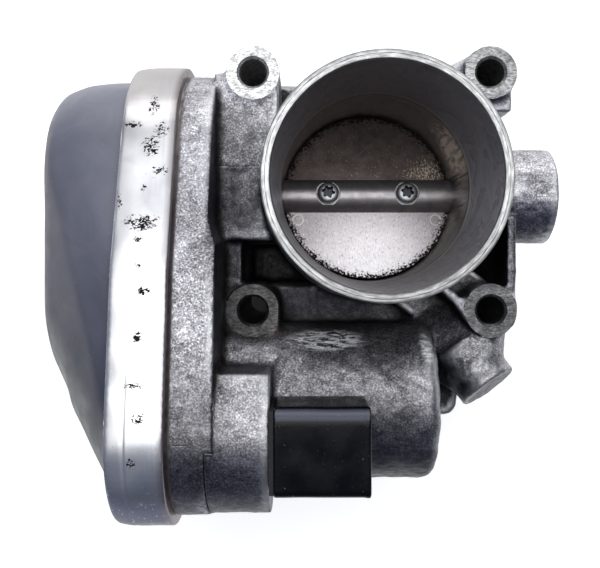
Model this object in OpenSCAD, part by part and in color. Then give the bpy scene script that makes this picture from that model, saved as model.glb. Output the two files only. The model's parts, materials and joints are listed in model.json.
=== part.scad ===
// Electronic throttle body: a cast housing with the air bore, a geared motor drive under a
// plastic cover, and the throttle shaft with its plate. Millimetres.
// The origin is the centre of the bore on the engine flange face. +Z runs up the bore to the
// inlet collar, and +X runs along the throttle shaft, away from the gears.

/* [Bore and flange] */
// Bore diameter at the throttle plate
bore_d = 44; // [43.6:0.1:44.4]
// Height of the inlet collar's rim above the flange face
collar_z = 77; // [74:0.5:80]
// Outside diameter of the inlet collar, where the hose fits
collar_d = 51.4; // [51:0.1:52]
// Thickness of the engine flange
flange_t = 7; // [6:0.5:9]
// Distance between bolt holes, both ways
bolt_pitch = 58; // [57.5:0.1:58.5]
// Diameter of each bolt hole
bolt_hole_d = 6.8; // [6.4:0.1:7]
// Height of the bolt bosses
boss_z = 47; // [46:0.5:49]

/* [Throttle] */
// Height of the throttle shaft's axis above the flange face
shaft_z = 32; // [31.8:0.1:32.2]
// Diameter of the throttle shaft
shaft_d = 9; // [8.8:0.1:9.2]
// Gap between the rim of the throttle plate and the bore
plate_gap = 0.15; // [0.1:0.05:0.3]
// Thickness of the throttle plate
plate_t = 1.6; // [1.4:0.1:2]
// Angle of the plate at rest, from square across the bore
plate_tilt = 10; // [9:0.5:11]
// Distance between the two plate screws
plate_screw_pitch = 20.4; // [18:0.1:24]

/* [Gear train] */
// Module of the second gear pair
sector_module = 1; // [1:0.01:1]
// Teeth on a full circle of the sector gear
sector_teeth = 44; // [44:1:44]
// Teeth on the small wheel of the intermediate gear
small_teeth = 16; // [16:1:16]
// Module of the first gear pair
pinion_module = 0.8; // [0.8:0.01:0.8]
// Teeth on the large wheel of the intermediate gear
large_teeth = 48; // [48:1:48]
// Teeth on the motor pinion
pinion_teeth = 12; // [12:1:12]
// Teeth cut on the sector
sector_cut_teeth = 16; // [15:1:17]

/* [Motor] */
// Distance of the motor axis from the shaft axis along Y
motor_y = -52; // [-52.3:0.1:-51.8]
// Height of the motor axis above the flange face
motor_z = 39; // [38.8:0.1:39.2]
// Diameter of the motor can
can_d = 32; // [31.6:0.1:32.2]
// Outside diameter of the housing's motor cup
cup_d = 38.4; // [38:0.1:38.8]
// Where the motor cup ends
cup_x = 15.1; // [15:0.1:15.6]

/* [Gear housing] */
// Inner face of the gear chamber's floor
floor_x = -39.5; // [-39.6:0.1:-39.3]
// Face of the housing rim that the cover seals on
rim_x = -49.6; // [-49.7:0.1:-49.5]
// Outer end of the cover
cover_x = -78.4; // [-79:0.1:-78]
// Thickness of the cover's wall
cover_wall = 2.2; // [2:0.1:2.4]

/* [Connector] */
// Width of the plug connector along Y
plug_w = 18.5; // [18.2:0.1:18.8]
// Height of the plug connector along Z
plug_h = 16.2; // [16:0.1:16.3]
// Where the plug connector ends
plug_x = -2.9; // [-4:0.1:-2]

/* [Hidden] */
$fn = 96;
eps = 0.02;
overshoot = 2;
running_gap = 0.04;

bore_r = bore_d / 2;
collar_r = collar_d / 2;
shaft_r = shaft_d / 2;
plate_r = bore_r - plate_gap;
bolt_at = bolt_pitch / 2;
boss_r = 6.4;
tube_r = collar_r + 0.6;
// Inner side of the two bolt bosses beside the gear housing
boss_side_x = boss_r - bolt_at;

// Plate screws and the moulded marks on the plate
plate_screw_r = 1.5;
screw_head_r = 2.75;
screw_head_z = 3.4;
screw_recess_r = 1.25;
mark_r = 1.4;

// Inlet collar: a machined entry above a step
step_z = 54;
entry_r = 22.25;
mouth_r = 23.6;
rim_chamfer = 0.5;
bolt_sink = 0.6;

// Shaft boss opposite the gears
stub_r = 12.3;
stub_x = 46.5;

// Shaft bearings and seals, from the gears to the far end
left_bearing_x = [-45.5, floor_x];
left_bearing_r = 8.5;
left_seal_x = [-36, -33];
left_seal_r = 7.5;
right_seal_x = [25, 28];
right_bearing_x = [28.5, 40.5];
right_seat_r = 7;
right_seat_end = 42.5;
plug_seat_r = 8;
bearing_boss_x = -46;
bearing_boss_r = 10.8;
shaft_hole_r = shaft_r + 0.25;
shaft_ends = [-60, 41];

// Return spring around the bearing boss
spring_r = 13.1;
spring_wire_r = 0.55;
spring_turns = 4.5;
spring_x = [-45.9, -41.1];
spring_steps = 24;

// Gear train: radii, and the intermediate axis where the two centre distances meet
sector_r = sector_module * sector_teeth / 2;
small_r = sector_module * small_teeth / 2;
large_r = pinion_module * large_teeth / 2;
pinion_r = pinion_module * pinion_teeth / 2;
motor_rise = motor_z - shaft_z;
axis_gap = norm([motor_y, motor_rise]);
second_gap = sector_r + small_r;
first_gap = large_r + pinion_r;
along = (second_gap ^ 2 - first_gap ^ 2 + axis_gap ^ 2) / (2 * axis_gap);
aside = sqrt(second_gap ^ 2 - along ^ 2);
toward_motor = [motor_y, motor_rise] / axis_gap;
mid_y = along * toward_motor[0] + aside * toward_motor[1];
mid_z = shaft_z + along * toward_motor[1] - aside * toward_motor[0];
mid_angle = atan2(mid_z - shaft_z, mid_y);
motor_angle = atan2(motor_z - mid_z, motor_y - mid_y);
// The first and last teeth of the sector cover the travel of the shaft
sector_first = mid_angle - 3 * 360 / sector_teeth;
sector_hub_r = 8.3;
sector_x = [-53.6, -48];
small_x = [-54.5, -47.5];
large_x = [-60.5, -55.5];
pinion_x = [-61, -55];
pressure = 20;
backlash = 0.12;

// Intermediate gear's pin
pin_r = 2.5;
pin_x = [-63, -37];

// Stop for the sector gear
stop_r = 1.5;
stop_reach = 19;
stop_angle = 279;
stop_y = stop_reach * cos(stop_angle);
stop_z = shaft_z + stop_reach * sin(stop_angle);

// Motor, from the pinion end
cap_x = -44;
cap_hub_x = -47;
can_end_x = 11.5;
can_wall = 1.2;
rotor_r = 1.5;
bush_r = 4;
cup_round = 3.2;
ear_reach = 19;
ear_screw_r = 1.4;
ear_angles = [-60, 120];

// Gear housing, cover and crimped band. The band's outline is the hull of these circles, each
// given as Y, height above the shaft, and radius.
outline_circles = [[4, 0, 29], [-25, 10, 28.5], [-55, 20, 23], [-54, 6, 22.5]];
rim_inset = 1.4;
flange_inset = 2.3;
chamber_inset = 5.3;
groove_x = [-46.7, -45.1];
back_x = -36;
thin_back_x = -37.8;
grow_x = thin_back_x - 0.6;
lobe_x = -24;
lobe_top_y = -41.4;
band_x = [-58, -45.6];
band_t = 1.2;
gasket_t = 0.8;

// Connector
plug_y = -56.65;
plug_z = 66.6;
neck_w = 11.5;
neck_h = 9;
plug_wall = 1.5;
pin_pitch_y = 4;
pin_pitch_z = 4.4;

steel = "#b9bcc0";
cast = "#8d8f92";
plastic = "#2c3038";

// Shapes along X: a flat outline drawn in Y and Z, and a round bar
module slab(x0, x1)
    translate([x0, 0, 0]) rotate([90, 0, 90]) linear_extrude(x1 - x0) children();
module bar(x0, x1, r, y = 0, z = shaft_z)
    translate([x0, y, z]) rotate([0, 90, 0]) cylinder(h = x1 - x0, r = r);
module ring(x0, x1, r_out, r_in, y = 0, z = shaft_z) difference() {
    bar(x0, x1, r_out, y, z);
    bar(x0 - overshoot, x1 + overshoot, r_in, y, z);
}
module block(low, high) translate(low) cube(high - low);
module at_bolts() for (x = [-1, 1], y = [-1, 1]) translate([x * bolt_at, y * bolt_at, 0]) children();

// Outline of the crimped band, and everything that follows it further in
module outline(inset) hull()
    for (c = outline_circles) translate([c[0], shaft_z + c[1]]) circle(c[2] - inset);

// ---- involute gears ----

function involute(a) = tan(a) * 180 / PI - a;
function flank_angle(rho, r) =
    let (base = r * cos(pressure), a = rho > base ? acos(base / rho) : 0)
    involute(pressure) - involute(a);
function tooth_points(r, teeth, root, tip, start) = [
    for (i = [0 : 5])
        let (rho = root + (tip - root) * i / 5,
             half = 90 / teeth - backlash / r * 90 / PI + flank_angle(rho, r))
        rho * [cos(start - half), sin(start - half)],
    for (i = [5 : -1 : 0])
        let (rho = root + (tip - root) * i / 5,
             half = 90 / teeth - backlash / r * 90 / PI + flank_angle(rho, r))
        rho * [cos(start + half), sin(start + half)]
];
// A wheel with a tooth centred on the angle start
module wheel(m, teeth, start, x) {
    r = m * teeth / 2;
    slab(x[0], x[1]) polygon([
        for (k = [0 : teeth - 1])
            each tooth_points(r, teeth, r - 1.15 * m, r + 0.85 * m, start + k * 360 / teeth)
    ]);
}

// ---- housing ----

// Places the slanted boss: its end face is at the origin, and +Z runs into the casting
module slanted() translate([29, -48, 45]) rotate([0, 0, -54.5]) rotate([0, -114, 0]) children();

module housing_solid() {
    // Bore tube, collar and engine flange
    cylinder(h = step_z + 3, r = tube_r);
    cylinder(h = collar_z, r = collar_r);
    linear_extrude(flange_t) offset(r = 6.8) square(bolt_pitch, center = true);
    at_bolts() cylinder(h = boss_z, r = boss_r);

    // Shaft boss, with its rib to the lower right bolt boss
    bar(18, stub_x, stub_r);
    block([33.1, -29, 0.5], [35.5, -6, boss_z - 1]);
    block([18, -11, 2], [34, 11, 30]);

    // Web and tab of the upper right bolt boss
    translate([0, 0, 1]) linear_extrude(boss_z - 2)
        polygon([[31.5, 24.2], [12, 14], [6, 24], [25, 33.8]]);
    block([26, 19.6, 20], [34.3, 27, boss_z - 1]);

    // Tongue of the lower right bolt boss, and the fill below it
    translate([0, 0, 1]) linear_extrude(boss_z - 1.2)
        polygon([[14, -20], [18.9, -23.6], [22, -26.1], [24.4, -26], [27.6, -22.8],
                 [26.8, -35.2], [24.8, -34.1], [20.2, -27.5], [17.4, -24.6], [13, -22]]);
    translate([0, 0, 1]) linear_extrude(37)
        polygon([[28, -20], [10, -12], [2, -24], [18, -36], [35.4, -34], [35.4, -27]]);

    // Solid shoulder between the tube and the gear housing
    block([grow_x, -12, 1], [-10, 8, boss_z - 0.4]);
    block([grow_x, 6, 1], [-22.8, bolt_at, boss_z - 0.1]);
    block([grow_x, -27, 1], [-31.7, -10, boss_z - 2]);
    block([grow_x, -41, 6], [boss_side_x, -bolt_at, boss_z - 0.1]);
    block([grow_x, -48, 6], [lobe_x, -40, boss_z - 3]);

    // Wall from the tube down to the motor cup
    block([lobe_x - 1, -46, 8], [14.5, -23, 35]);

    // Motor cup with a rounded end
    translate([0, motor_y, motor_z]) rotate([0, 90, 0]) rotate_extrude() {
        translate([0, grow_x]) square([cup_d / 2, cup_x - cup_round - grow_x]);
        translate([0, cup_x - 4]) square([cup_d / 2 - cup_round, 4]);
        translate([cup_d / 2 - cup_round, cup_x - cup_round]) circle(cup_round);
    }
    for (a = ear_angles)
        bar(grow_x, floor_x + 9.5, 3.4,
            motor_y + ear_reach * cos(a), motor_z + ear_reach * sin(a));

    // Slanted blind boss with its broad root, and a lug beside the motor cup
    hull() {
        slanted() translate([0, 0, 4]) cylinder(h = 2, r = 7.6, $fn = 32);
        translate([28.4, -30, 2]) cylinder(h = 36, r = 7.2, $fn = 32);
        translate([16, -33, 4]) cylinder(h = 31, r = 8, $fn = 32);
        translate([20, -40, 8]) cylinder(h = 22, r = 8, $fn = 32);
    }
    slanted() cylinder(h = 12, r = 7.4);
    translate([0, 0, 10]) linear_extrude(20) offset(r = 3.4)
        polygon([[14, -44], [14, -54.8], [21, -54.6], [22, -48], [20, -40]]);

    // Gear housing: back wall, rim, and the lobe that carries the connector
    slab(groove_x[1], thin_back_x) outline(flange_inset);
    intersection() {
        slab(grow_x, back_x) outline(flange_inset);
        linear_extrude(90) polygon([[grow_x, -57], [back_x, -57], [back_x, -13.5], [grow_x, -5.5]]);
    }
    slab(groove_x[0] - eps, groove_x[1] + eps) outline(3.3);
    slab(rim_x, groove_x[0]) outline(rim_inset);
    slab(grow_x, lobe_x) difference() {
        hull() {
            translate([-55, shaft_z + 20]) circle(20.2);
            translate([-54, shaft_z + 6]) circle(19.7);
        }
        translate([lobe_top_y, boss_z]) square(40);
    }
}

module housing_cuts() {
    // Air bore with a stepped entry
    translate([0, 0, -overshoot]) cylinder(h = collar_z + 2 * overshoot, r = bore_r);
    translate([0, 0, step_z]) cylinder(h = 1, r1 = bore_r, r2 = entry_r);
    translate([0, 0, step_z + 1]) cylinder(h = collar_z - step_z - 1, r1 = entry_r, r2 = mouth_r);
    translate([0, 0, collar_z - rim_chamfer])
        cylinder(h = rim_chamfer + eps, r1 = mouth_r - eps, r2 = mouth_r + rim_chamfer);
    translate([0, 0, collar_z - rim_chamfer]) difference() {
        cylinder(h = overshoot, r = collar_r + 4);
        translate([0, 0, -eps])
            cylinder(h = rim_chamfer + 2 * eps, r1 = collar_r, r2 = collar_r - rim_chamfer);
    }

    // Bolt holes, countersunk at the top
    at_bolts() {
        translate([0, 0, -overshoot]) cylinder(h = boss_z + 2 * overshoot, r = bolt_hole_d / 2);
        translate([0, 0, boss_z - bolt_sink])
            cylinder(h = bolt_sink + eps, r1 = bolt_hole_d / 2, r2 = bolt_hole_d / 2 + bolt_sink);
    }

    // Shaft bore and the seats along it
    bar(bearing_boss_x - 1, stub_x + 1, shaft_hole_r);
    bar(bearing_boss_x - 1, left_bearing_x[1], left_bearing_r);
    bar(left_bearing_x[1] - 1, left_seal_x[1], left_seal_r);
    bar(right_seal_x[0], stub_x + 1, right_seat_r);
    bar(right_seat_end, stub_x + 1, plug_seat_r);

    // Gear chamber around the bearing boss
    difference() {
        slab(rim_x - 1, floor_x) outline(chamber_inset);
        bar(bearing_boss_x, floor_x + 1, bearing_boss_r);
    }

    // Motor cup, screw holes, pin holes and the connector's way in
    bar(rim_x, can_end_x + 0.6, can_d / 2 + 0.1, motor_y, motor_z);
    for (a = ear_angles)
        bar(floor_x - 1, floor_x + 8, ear_screw_r,
            motor_y + ear_reach * cos(a), motor_z + ear_reach * sin(a));
    bar(floor_x - 1, pin_x[1], pin_r, mid_y, mid_z);
    bar(floor_x - 1, floor_x + 3, stop_r, stop_y, stop_z);
    block([floor_x - 1, plug_y - neck_w / 2 - 0.8, neck_z - neck_h / 2 - 0.4],
          [lobe_x - 3.2, plug_y + neck_w / 2 + 0.8, neck_z + neck_h / 2 + 0.4]);
    block([floor_x, plug_y - neck_w / 2, neck_z - neck_h / 2],
          [lobe_x + 1, plug_y + neck_w / 2, neck_z + neck_h / 2]);
}

module throttle_housing() color(cast) difference() {
    housing_solid();
    housing_cuts();
}

// ---- cover and band ----

// The cover's deep dome over the sector gear, and its shallower one over the motor's gears.
// Each step is a place along X and the radius there.
dome_inset = 3.6;
dome_steps = [[-64.5, 25.4], [-70.5, 24.7], [-76.2, 22.6], [cover_x, 19.6]];
low_steps = [[-69.5, 19.6], [-72, 18]];

module dome(inset) hull() {
    slab(-57.1, -56.9) outline(dome_inset + inset);
    for (s = dome_steps) slab(max(s[0], cover_x + inset), max(s[0], cover_x + inset) + 0.1) hull() {
        translate([4, shaft_z]) circle(s[1] - inset);
        translate([-26, shaft_z]) circle(s[1] - 0.4 - inset);
    }
}
module low_dome(inset) hull() {
    slab(-57.1, -56.9) hull() for (c = [for (i = [1 : 3]) outline_circles[i]])
        translate([c[0], shaft_z + c[1]]) circle(c[2] - 3 - inset);
    for (s = low_steps) slab(s[0] + inset, s[0] + inset + 0.1) hull() {
        translate([-27, shaft_z + 6]) circle(s[1] - inset);
        translate([-38, shaft_z + 6]) circle(s[1] - inset);
    }
}

module gear_cover() color(plastic) {
    difference() {
        union() {
            dome(0);
            low_dome(0);
            slab(-57.1, rim_x - gasket_t) outline(rim_inset);
        }
        dome(cover_wall);
        low_dome(cover_wall);
        slab(-57.2, rim_x) outline(chamber_inset);
    }
    for (p = [[-18, 20], [12, 20], [-2, 46]]) bar(cover_x + 1.5, -66.6, 2, p[0], p[1]);
}

module crimp_ring() color("#d9dce0") {
    slab(band_x[0], band_x[1]) difference() { outline(0); outline(band_t); }
    slab(band_x[0], band_x[0] + 0.8) difference() { outline(0.5); outline(2.85); }
    slab(band_x[1] - 0.9, band_x[1]) difference() { outline(0.5); outline(3.2); }
}

module cover_gasket() color("#1a1a1a")
    slab(rim_x - gasket_t, rim_x) difference() { outline(1.6); outline(chamber_inset); }

// ---- shaft bearings and seals ----

module left_bearing() color(steel)
    ring(left_bearing_x[0], left_bearing_x[1], left_bearing_r, shaft_r + running_gap);
module right_bearing() color(steel)
    ring(right_bearing_x[0], right_bearing_x[1], right_seat_r, shaft_r + running_gap);
module left_seal() color("#222222")
    ring(left_seal_x[0], left_seal_x[1], left_seal_r, shaft_r + running_gap);
module right_seal() color("#222222")
    ring(right_seal_x[0], right_seal_x[1], right_seat_r, shaft_r + running_gap);
module stub_plug() color(steel) difference() {
    bar(right_seat_end + 0.5, right_seat_end + 3, plug_seat_r);
    bar(right_seat_end + 1.5, right_seat_end + 4, plug_seat_r - 1.4);
}

// ---- return spring ----

module spring_bushing() color("#d8d2c0") difference() {
    union() {
        bar(-46.2, floor_x, bearing_boss_r + 1.2);
        bar(-40.4, floor_x, 14.6);
    }
    bar(-47, floor_x + 1, bearing_boss_r + 0.1);
}

function coil_point(t) =
    let (a = 360 * spring_turns * t)
    [spring_x[0] + (spring_x[1] - spring_x[0]) * t,
     spring_r * cos(a), shaft_z + spring_r * sin(a)];

// A wire of six sides swept along the coil
module return_spring() {
    sides = 6;
    rings = spring_turns * spring_steps;
    points = [
        for (i = [0 : rings])
            let (t = i / rings, a = 360 * spring_turns * t, c = coil_point(t))
            for (j = [0 : sides - 1])
                let (b = 360 * j / sides, out = spring_wire_r * cos(b))
                c + [spring_wire_r * sin(b), out * cos(a), out * sin(a)]
    ];
    walls = [
        for (i = [0 : rings - 1], j = [0 : sides - 1])
            let (k = (j + 1) % sides)
            each [[i * sides + j, i * sides + k, (i + 1) * sides + k],
                  [i * sides + j, (i + 1) * sides + k, (i + 1) * sides + j]]
    ];
    ends = [
        for (j = [1 : sides - 2])
            each [[0, j + 1, j], [rings * sides, rings * sides + j, rings * sides + j + 1]]
    ];
    color(steel) polyhedron(points, concat(walls, ends));
}

module stop_pin() color(steel) bar(-53, floor_x + 3, stop_r, stop_y, stop_z);

// ---- throttle group ----

module tilted() translate([0, 0, shaft_z]) rotate([-plate_tilt, 0, 0]) children();
module at_plate_screws() for (x = [-1, 1]) translate([x * plate_screw_pitch / 2, 0, 0]) children();

module throttle_shaft() color(steel) difference() {
    bar(shaft_ends[0], shaft_ends[1], shaft_r);
    tilted() {
        block([-plate_r - 0.1, -6, -plate_t / 2], [plate_r + 0.1, 6, plate_t / 2]);
        at_plate_screws() {
            translate([0, 0, -3]) cylinder(h = 10, r = plate_screw_r);
            translate([0, 0, screw_head_z]) cylinder(h = 4, r = screw_head_r + 0.45);
        }
    }
}

module throttle_plate() color("#a9a294") tilted() difference() {
    translate([0, 0, -plate_t / 2]) cylinder(h = plate_t, r = plate_r);
    at_plate_screws() translate([0, 0, -3]) cylinder(h = 6, r = plate_screw_r);
    for (x = [-1, 1]) translate([x * 18, -6.4, plate_t / 2 - 0.3]) cylinder(h = 1, r = mark_r);
}

module plate_screws() color("#c9ced6") tilted() at_plate_screws() difference() {
    union() {
        translate([0, 0, -3]) cylinder(h = 7, r = plate_screw_r);
        translate([0, 0, screw_head_z]) cylinder(h = 1.2, r = screw_head_r);
        translate([0, 0, screw_head_z + 1.2]) cylinder(h = 0.9, r1 = screw_head_r, r2 = 2);
    }
    translate([0, 0, screw_head_z + 0.7]) cylinder(h = 3, r = screw_recess_r);
}

module sector_gear() color("#e3ddcb") difference() {
    union() {
        bar(-58, -46.5, sector_hub_r);
        slab(sector_x[0], sector_x[1]) translate([0, shaft_z]) polygon([
            [0, 0],
            for (k = [0 : sector_cut_teeth - 1])
                each tooth_points(sector_r, sector_teeth, sector_r - 1.15, sector_r + 0.85,
                                  sector_first + k * 360 / sector_teeth)
        ]);
    }
    bar(-70, -40, shaft_r);
    for (a = [25, 55, 85])
        bar(-70, -40, 3.2, 14.2 * cos(sector_first + a), shaft_z + 14.2 * sin(sector_first + a));
}

module sector_clip() color(steel) ring(-59.4, -58, 6.4, shaft_r);
module sensor_magnet() color("#3a3a3e") bar(-63, shaft_ends[0], 5);

// ---- intermediate gear ----

module intermediate_gear() color("#ece6d2") translate([0, mid_y, mid_z]) difference() {
    union() {
        wheel(sector_module, small_teeth, mid_angle + 180 + 180 / small_teeth, small_x);
        wheel(pinion_module, large_teeth, motor_angle, large_x);
        bar(-61.4, -46, 4.6, 0, 0);
    }
    bar(-70, -40, pin_r + running_gap, 0, 0);
    for (a = [0 : 60 : 300])
        bar(-70, -54.9, 3.6, 13.2 * cos(a + 10), 13.2 * sin(a + 10));
}
module intermediate_pin() color(steel) bar(pin_x[0], pin_x[1], pin_r, mid_y, mid_z);
module pin_clip() color(steel) ring(-62.4, -61.7, 4.4, pin_r, mid_y, mid_z);

// ---- motor ----

module motor_bar(x0, x1, r) bar(x0, x1, r, motor_y, motor_z);
module motor_ring(x0, x1, r_out, r_in) ring(x0, x1, r_out, r_in, motor_y, motor_z);

module motor_can() color("#c4c6c8") difference() {
    motor_bar(floor_x, can_end_x, can_d / 2);
    motor_bar(floor_x - 1, can_end_x - can_wall, can_d / 2 - can_wall);
}
module motor_magnets() color("#3c3a38")
    translate([0, motor_y, motor_z]) rotate([0, 90, 0])
        for (a = [25, 205]) rotate([0, 0, a]) translate([0, 0, -30])
            rotate_extrude(angle = 130) translate([12.2, 0]) square([2.5, 34]);
module motor_end_cap() color("#24262a") difference() {
    union() {
        motor_bar(cap_x, floor_x, can_d / 2 - 0.4);
        motor_bar(cap_hub_x, floor_x, 6);
        slab(floor_x - 2.4, floor_x) for (a = ear_angles) hull() {
            translate([motor_y, motor_z]) circle(6);
            translate([motor_y + ear_reach * cos(a), motor_z + ear_reach * sin(a)]) circle(3.4);
        }
    }
    motor_bar(cap_x + 2, floor_x + 1, 13);
    motor_bar(cap_hub_x - 1, floor_x + 1, bush_r);
    for (a = ear_angles)
        bar(floor_x - 4, floor_x + 1, ear_screw_r + 0.2,
            motor_y + ear_reach * cos(a), motor_z + ear_reach * sin(a));
}
module motor_brushes() color("#5a4a3c") for (s = [-1, 1])
    translate([0, motor_y, motor_z]) rotate([s * 90, 0, 0])
        block([-38.5, -1.6, 4.7], [-33.5, 1.6, 11]);
module motor_front_bush() color("#b08d4c")
    motor_ring(cap_hub_x, cap_hub_x + 4.4, bush_r, rotor_r + running_gap);
module motor_rear_bush() color("#b08d4c")
    motor_ring(can_end_x - can_wall - 2.5, can_end_x - can_wall, bush_r, rotor_r + running_gap);
module motor_wave_washer() color(steel) motor_ring(can_end_x, can_end_x + 0.5, 13, 9);
module motor_screws() color(steel) for (a = ear_angles)
    translate([0, motor_y + ear_reach * cos(a), motor_z + ear_reach * sin(a)]) difference() {
        union() {
            bar(floor_x - 3, floor_x + 7, ear_screw_r, 0, 0);
            bar(floor_x - 4.4, floor_x - 2.4, 2.6, 0, 0);
        }
        bar(floor_x - 5, floor_x - 3.4, 1.2, 0, 0);
    }

module motor_shaft() color(steel) motor_bar(-62, can_end_x - can_wall - 0.3, rotor_r);
module armature() color("#a5663a") {
    difference() {
        union() {
            motor_bar(-26, 2, 11.4);
            motor_bar(-29.5, 5.5, 8.6);
        }
        motor_bar(-40, 20, rotor_r);
        for (a = [0 : 72 : 288]) translate([0, motor_y, motor_z]) rotate([a, 0, 0])
            block([-27, -1, 8.8], [3, 1, 12]);
    }
}
module commutator() color("#b5713f") motor_ring(-38.6, -30.5, 4.5, rotor_r);
module motor_pinion() color("#c7a24a") translate([0, motor_y, motor_z]) difference() {
    wheel(pinion_module, pinion_teeth, motor_angle + 180 + 180 / pinion_teeth, pinion_x);
    bar(-70, -40, rotor_r, 0, 0);
}

// ---- connector and sensor ----

plug_low = [lobe_x + 0.9, plug_y - plug_w / 2, plug_z - plug_h / 2];
neck_z = plug_z - 1.9;

module connector_shell() color("#15161a") {
    difference() {
        slab(plug_low[0], plug_x) translate([plug_y, plug_z]) offset(r = 1.6)
            square([plug_w - 3.2, plug_h - 3.2], center = true);
        slab(-16, plug_x + 1) translate([plug_y, plug_z]) offset(r = 0.8)
            square([plug_w - 2 * plug_wall - 1.6, plug_h - 2 * plug_wall - 1.6], center = true);
        terminals();
    }
    difference() {
        block([-41, plug_y - neck_w / 2 + 0.1, neck_z - neck_h / 2 + 0.1],
              [plug_low[0] + eps, plug_y + neck_w / 2 - 0.1, neck_z + neck_h / 2 - 0.1]);
        terminals();
    }
}
module terminals() for (i = [-1, 0, 1], j = [-0.5, 0.5])
    translate([0, plug_y + i * pin_pitch_y, neck_z + j * pin_pitch_z])
        block([-46, -0.4, -0.4], [-7, 0.4, 0.4]);
module connector_terminals() color("#c9b27a") terminals();
module connector_seal() color("#7a4030") slab(lobe_x, plug_low[0]) difference() {
    translate([plug_y, plug_z]) square([plug_w - 1.2, plug_h - 1.2], center = true);
    translate([plug_y, neck_z]) square([neck_w, neck_h], center = true);
}
module lead_frame() color("#2a2420") {
    difference() {
        block([-46.4, -61.6, 60], [-43.4, -50, 68]);
        terminals();
    }
    block([-46.4, -50 - eps, 59.5], [-43.4, -41, 65]);
    block([-65, -45, 58.2], [-43.4, -41, 59.8]);
    block([-65, -45, 50], [-63.4, -17, 59.8]);
}
module sensor_board() color("#1d5b3a") slab(-66.6, -65) hull() {
    for (p = [[-20, 18], [14, 18], [14, 44], [-8, 50], [-20, 50]])
        translate(p) circle(2);
}

throttle_housing();
gear_cover();
crimp_ring();
cover_gasket();
left_bearing();
right_bearing();
left_seal();
right_seal();
stub_plug();
spring_bushing();
return_spring();
stop_pin();
intermediate_pin();
pin_clip();
motor_can();
motor_magnets();
motor_end_cap();
motor_brushes();
motor_front_bush();
motor_rear_bush();
motor_wave_washer();
motor_screws();
connector_shell();
connector_terminals();
connector_seal();
lead_frame();
sensor_board();
throttle_shaft();
throttle_plate();
plate_screws();
sector_gear();
sector_clip();
sensor_magnet();
intermediate_gear();
motor_shaft();
armature();
commutator();
motor_pinion();
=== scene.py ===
import json
import math

import bmesh
import bpy
import numpy as np
from mathutils import Matrix, Vector


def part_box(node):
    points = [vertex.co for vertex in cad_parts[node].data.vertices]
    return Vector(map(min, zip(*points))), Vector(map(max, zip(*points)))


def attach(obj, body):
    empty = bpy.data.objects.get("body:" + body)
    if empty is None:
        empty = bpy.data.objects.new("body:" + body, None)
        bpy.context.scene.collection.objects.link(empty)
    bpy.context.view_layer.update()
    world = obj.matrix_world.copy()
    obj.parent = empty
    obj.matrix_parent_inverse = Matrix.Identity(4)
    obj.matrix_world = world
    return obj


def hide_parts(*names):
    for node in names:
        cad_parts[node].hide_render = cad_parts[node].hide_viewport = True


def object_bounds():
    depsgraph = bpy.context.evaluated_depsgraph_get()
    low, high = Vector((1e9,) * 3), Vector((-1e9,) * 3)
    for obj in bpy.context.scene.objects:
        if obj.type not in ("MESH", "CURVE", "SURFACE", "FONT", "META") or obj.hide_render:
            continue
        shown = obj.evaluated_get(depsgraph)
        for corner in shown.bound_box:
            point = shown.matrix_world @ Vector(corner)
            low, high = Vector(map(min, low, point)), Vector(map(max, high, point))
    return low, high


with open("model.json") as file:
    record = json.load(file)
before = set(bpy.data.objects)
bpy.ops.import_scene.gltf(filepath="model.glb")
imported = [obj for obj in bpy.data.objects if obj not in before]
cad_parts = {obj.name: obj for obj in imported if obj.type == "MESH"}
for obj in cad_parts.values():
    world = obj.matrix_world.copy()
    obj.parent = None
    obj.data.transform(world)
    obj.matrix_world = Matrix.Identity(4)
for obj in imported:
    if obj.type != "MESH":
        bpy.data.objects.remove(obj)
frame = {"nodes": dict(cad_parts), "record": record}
cad_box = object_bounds()

MM = 0.001

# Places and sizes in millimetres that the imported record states
MOUNTS = {mount["name"]: mount["dims"] for mount in frame["record"]["mounts"]}
AXES = {joint["name"]: joint["pos_m"] for joint in frame["record"]["behaviour"]["joints"]}
BOLT_AT = MOUNTS["flange_bolts"]["spacing_x_mm"] / 2
BOLT_HOLE_R = MOUNTS["flange_bolts"]["hole_r_mm"]
COLLAR_R = MOUNTS["inlet_collar"]["r_mm"]
COLLAR_TOP = round(cad_box[1][2] / MM, 3)
SHAFT_Z = AXES["throttle_turn"][2] / MM
MOTOR_AXIS = [place / MM for place in AXES["rotor_turn"][1:]]

# Further sizes in millimetres, as the CAD source has them
BORE_R = 22
MOUTH_R = 23.6
BOSS_R = 6.4
BOSS_TOP = 47
PLATE_TILT = math.radians(10)
SCREW_PITCH = 20.4
MOTOR_BORE_R = 16.1
STUB_END = 46.5
STUB_R = 12.3
PLUG_WALL = 1.5
# The outline that the gear housing, the cover and the band share: the hull of these circles (Y, Z, radius)
OUTLINE = ((4, 32, 29), (-25, 42, 28.5), (-55, 52, 23), (-54, 38, 22.5))
# How far inside that outline the rim, the flange and the gear chamber lie
RIM_INSET = 1.4
FLANGE_INSET = 2.3
CHAMBER_INSET = 5.3
# The face of the gear housing's rim, under the cover
RIM_X = -49.6
# The flange's right face steps in below FLANGE_STEP_Y
FLANGE_X = -36
FLANGE_LOW_X = -37.8
FLANGE_STEP_Y = -57
# Corners (Y, Z) of the opening that the connector's neck goes through
NECK_LOW = (-63.5, 59.5)
NECK_HIGH = (-49.8, 69.9)
# Pegs inside the cover that carry the sensor board (Y, Z), and how far they reach
COVER_PEGS = ((-18, 20), (12, 20), (-2, 46))
PEG_END_X = -76.6

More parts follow.
